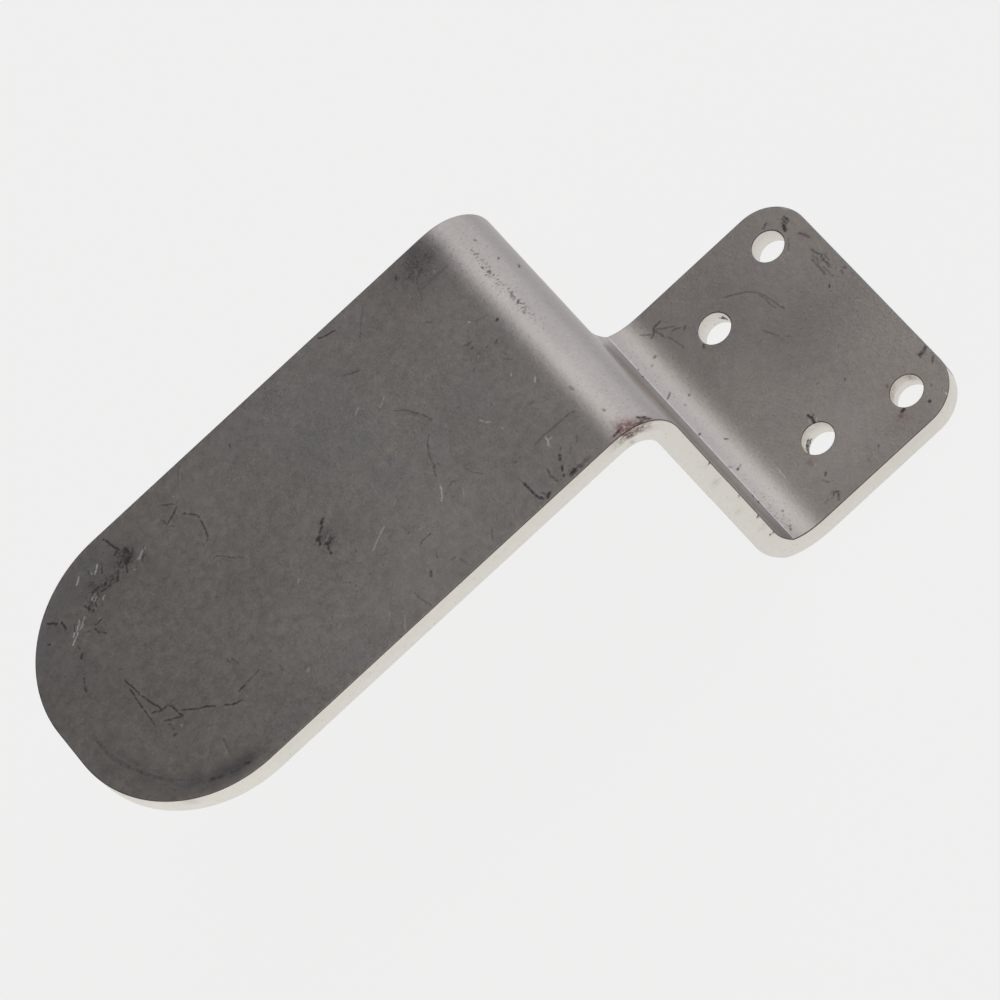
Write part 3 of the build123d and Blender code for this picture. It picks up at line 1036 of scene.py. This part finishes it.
def under_marks():
    """Handling marks on the underside, strewn from a fixed seed: dark, light and soft patches."""
    strewn = random.Random(UNDER_SEED)
    marks = []
    for _ in range(UNDER_MARKS):
        start = Vector((strewn.uniform(3.0, STRIP_LENGTH - 8.0), strewn.uniform(-18.0, 18.0)))
        heading = strewn.uniform(0.0, math.pi)
        points = [start]
        for _ in range(strewn.randint(1, 3)):
            heading += strewn.uniform(-0.5, 0.5)
            run = strewn.uniform(0.4, 1.9)
            points.append(points[-1] + Vector((math.cos(heading), math.sin(heading))) * run)
        marks.append((strewn.uniform(0.08, 0.42), strewn.uniform(0.16, 0.26), *points))
    kinds = []
    for count, most in UNDER_PATCHES:
        patches = []
        for _ in range(count):
            middle = (strewn.uniform(3.0, STRIP_LENGTH - 12.0), strewn.uniform(-16.0, 16.0))
            half = (strewn.uniform(0.5, 2.6), strewn.uniform(0.5, 2.0))
            patches.append((strewn.uniform(0.3, 1.0) * most, half, middle))
        kinds.append(patches)
    return marks[UNDER_LIGHT_MARKS:], marks[:UNDER_LIGHT_MARKS], kinds


# Bending

def bend(bm):
    """Bends the blank round heel and shoulder into its place, in metres."""
    step, line = middle_line()
    blank = bm.verts.layers.float_vector["blank"]
    for vert in bm.verts:
        along, across, up = vert.co
        vert[blank] = (along, across, up)
        angle = turned(along)
        place = min(max(along / step, 0.0), len(line) - 1.001)
        number = int(place)
        share = place - number
        x = line[number][0] * (1.0 - share) + line[number + 1][0] * share
        z = line[number][1] * (1.0 - share) + line[number + 1][1] * share
        swell = noise.noise(Vector((along * 0.045, across * 0.06, 0.0))) * 0.5 + 0.5
        lift = WARP * swell * (1.0 if along < RISER_MIDDLE else -1.0)
        across *= 1.0 - draw_in(along, up) / (WIDTH / 2)
        vert.co = Vector((x + (up + lift) * math.sin(angle), across, z + (up + lift) * math.cos(angle))) * MM


def draw_in(along, up):
    """How far the side walls stand back on the stretched side of a bend."""
    heel = math.exp(-((along - (HEEL_START + HEEL_END) / 2) / 3.4) ** 2)
    shoulder = math.exp(-((along - (SHOULDER_START + SHOULDER_END) / 2) / 3.0) ** 2)
    stretched = heel * (0.5 - up / SHEET) + shoulder * (0.5 + up / SHEET)
    return BEND_DRAW_IN * stretched


# Steel

MARK_WAVER = 0.34
MARK_CORE = 0.12  # share of a mark's width that is at full strength

FACE_DARK = colour(0.265, 0.237, 0.219)
FACE_PALE = colour(0.525, 0.480, 0.453)
HAZE_AND_PAINTED_BEND_TINT = colour(0.361, 0.346, 0.380)
STAIN = colour(0.150, 0.138, 0.150)
RUBBED_AND_PAINTED_HIGHLIGHT = colour(0.80, 0.77, 0.74)
FLECK = colour(0.74, 0.72, 0.69)
PIT = colour(0.115, 0.117, 0.125)
SCRATCH_AND_PAINTED_HIGHLIGHT = colour(0.93, 0.91, 0.89)
WALL_COOL = colour(0.865, 0.845, 0.800)
WALL_WARM = colour(0.835, 0.785, 0.710)
WALL_DULL = colour(0.50, 0.47, 0.44)
WALL_END = colour(0.15, 0.16, 0.23)
WALL_FLECK = colour(0.34, 0.30, 0.26)
RIM_NEAR = colour(0.125, 0.100, 0.085)
RIM_FAR = colour(0.080, 0.088, 0.145)
RUST = colour(0.165, 0.070, 0.060)
SOOT = colour(0.040, 0.036, 0.036)


def mark_masks(paint, layer_count, blank):
    """How strongly dark and light marks cover the surface, along lines that waver a little."""
    waver = paint.noise_vector(blank, 1.3, 3.0, 0.6)
    waver_along, waver_across, _ = [(axis - 0.5) * MARK_WAVER for axis in paint.axes(waver)]
    dark = None
    light = None
    for number in range(layer_count):
        mark = paint.attribute(f"line_{number}")
        off_along, off_across, tone = paint.axes(mark.outputs["Vector"])
        width = Amount(paint, mark.outputs["Alpha"])
        off_along = off_along + waver_along
        off_across = off_across + waver_across
        gap = (off_along * off_along + off_across * off_across).root()
        shown = gap.above(width, width * MARK_CORE) * tone
        dark = shown * -1.0 if dark is None else dark.most(shown * -1.0)
        light = shown if light is None else light.most(shown)
    return dark.clamped(), light.clamped()


def steel_material(layer_count):
    """Dull mill faces with stains and handling marks, dark rims and bright cut walls between them, and
    painted highlight and reflection tint across the bends.
    """
    paint = Paint("mill_steel")
    blank = paint.attribute("blank").outputs["Vector"]
    along, across, up = paint.axes(blank)
    # The stain and haze channels also carry the painted highlight and reflection tint across the bends.
    soil_and_painted_sheen = paint.attribute("soil_and_painted_sheen")
    stain_and_bend_highlight, haze_and_bend_tint, rust = paint.axes(soil_and_painted_sheen.outputs["Vector"])
    dirt = Amount(paint, soil_and_painted_sheen.outputs["Alpha"]).clamped()
    wall_top = SHEET / 2 - RIM_ROUNDING
    cut = up.above(wall_top + 0.03, wall_top - 0.03) * up.above(-SHEET / 2 + 0.01, -SHEET / 2 + 0.05)
    edge = up.above(wall_top - 0.03, wall_top + 0.03) * up.above(SHEET / 2 - 0.0005, SHEET / 2 - 0.005)

    grain = paint.noise(blank, 3.1, 3.0, 0.7)
    mottle = paint.noise(blank, 0.9, 4.0, 0.6)
    cloud = paint.noise(blank, 0.09, 3.0, 0.5)
    crackle = paint.noise(blank, 2.3, 4.0, 0.8, 0.4)
    knots = paint.noise(blank, 2.1, 3.0, 0.7)
    speckle = paint.noise(blank, 3.2, 2.0, 0.5)

    dark_mark, light_mark = mark_masks(paint, layer_count, blank)
    broken = knots.above(0.30, 0.62) * 0.6 + 0.62
    spread = dirt * 0.28
    soot = crackle.above(0.68 - spread, 0.75 - spread) * (dirt * 0.7 + 0.3)
    dark = (dark_mark * broken * 1.15).clamped() * (0.92 - cut * 0.92)
    dark = (dark + soot * 0.8 * (1.0 - dark)).clamped()
    light = light_mark * (knots.above(0.25, 0.5) * 0.5 + 0.5) * (1.0 - cut)

    uneven = along.above(20.0, 140.0) * 0.4 + 0.44
    tone = ((grain - 0.5) + (mottle - 0.5) * 0.7) * uneven + (cloud - 0.5) * 0.45 + 0.5
    face = paint.mixed(tone, FACE_DARK, FACE_PALE)
    # Hazy patches, and painted reflection tint on the bands across the bends.
    face = paint.mixed(haze_and_bend_tint.clamped() * 0.75, face, HAZE_AND_PAINTED_BEND_TINT)
    face = paint.mixed(stain_and_bend_highlight.clamped() * 0.7, face, STAIN)
    # Paler where rubbed; on the bands across heel and shoulder this is painted highlight.
    face = paint.mixed((stain_and_bend_highlight * -1.0).clamped() * 0.5, face, RUBBED_AND_PAINTED_HIGHLIGHT)
    face = paint.mixed(speckle.above(0.66, 0.74) * 0.24, face, FLECK)
    pits = speckle.above(0.36 + dirt * 0.07, 0.30 + dirt * 0.07) * (dirt * 0.35 + 0.32)
    face = paint.mixed(pits, face, PIT)
    # Bright scratches and flecks, and the painted highlight along the heel's crease.
    face = paint.mixed(light, face, SCRATCH_AND_PAINTED_HIGHLIGHT)

    wall_tone = (mottle - 0.5) * 0.7 + (grain - 0.5) * 0.6 + up.above(-0.5, 0.6) * 0.3 + 0.35
    wall = paint.mixed(wall_tone, WALL_COOL, WALL_WARM)
    wall = paint.mixed(along.above(110.0, 0.0) * 0.22, wall, WALL_DULL)
    wall = paint.mixed(along.above(0.35, 0.05) * 0.95, wall, WALL_END)
    wall = paint.mixed(speckle.above(0.66, 0.74) * 0.45, wall, WALL_FLECK)

    steel = paint.mixed(cut, face, wall)
    rim = paint.mixed(across.above(-14.0, 14.0), RIM_NEAR, RIM_FAR)
    steel = paint.mixed(edge * 0.8, steel, rim)
    red = (rust * (crackle.above(0.36, 0.58) * 0.85 + 0.15)).clamped()
    steel = paint.mixed(red * 0.8, steel, RUST)
    steel = paint.mixed(dark, steel, SOOT)

    dullness = 0.36 + (mottle - 0.5) * 0.12 + dark * 0.25 + red * 0.2 + cut * 0.06
    metal = 1.0 - (dark * 0.4 + red * 0.4).clamped()
    height = (grain + mottle) * 0.5
    bump = paint.node("ShaderNodeBump", None, {"Strength": 0.7, "Distance": 0.00004, "Height": height})
    values = {"Base Color": steel, "Roughness": dullness, "Metallic": metal, "Normal": bump.outputs[0]}
    shader = paint.node("ShaderNodeBsdfPrincipled", None, values)
    return paint.finish(shader.outputs[0])


# The tab

def add_tab():
    bm = make_blank()
    upper_layers = sort_marks(DARK_MARKS, LIGHT_MARKS_AND_CREASE_HIGHLIGHT)
    under_dark, under_light, under_soil = under_marks()
    under_layers = sort_marks(under_dark, under_light)
    layer_count = max(len(upper_layers), len(under_layers))
    bm.verts.layers.float_vector.new("blank")
    add_layer(bm, "soil_and_painted_sheen", (0.0, 0.0, 0.0, 0.0))
    for number in range(layer_count):
        add_layer(bm, f"line_{number}", NO_MARK)
    store_lines(bm, upper_layers, 1)
    store_lines(bm, under_layers, -1)
    store_patches_and_sheen(bm, (STAINS_AND_PAINTED_BEND_HIGHLIGHTS, HAZES_AND_PAINTED_BEND_TINT, RUSTS, DIRTS), 1)
    store_patches_and_sheen(bm, under_soil, -1)
    store_wall_spots(bm)
    bend(bm)
    bmesh.ops.recalc_face_normals(bm, faces=bm.faces)
    for face in bm.faces:
        face.smooth = True
    mesh = bpy.data.meshes.new("tab_steel")
    bm.to_mesh(mesh)
    bm.free()
    mesh.materials.append(steel_material(layer_count))
    tab = bpy.data.objects.new("tab_steel", mesh)
    bpy.context.scene.collection.objects.link(tab)
    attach(tab, "root")
    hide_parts("bonnet_tab")


bpy.context.scene.view_settings.view_transform = "Standard"
add_camera()
add_floor()
add_surroundings()
add_lamps()
add_tab()
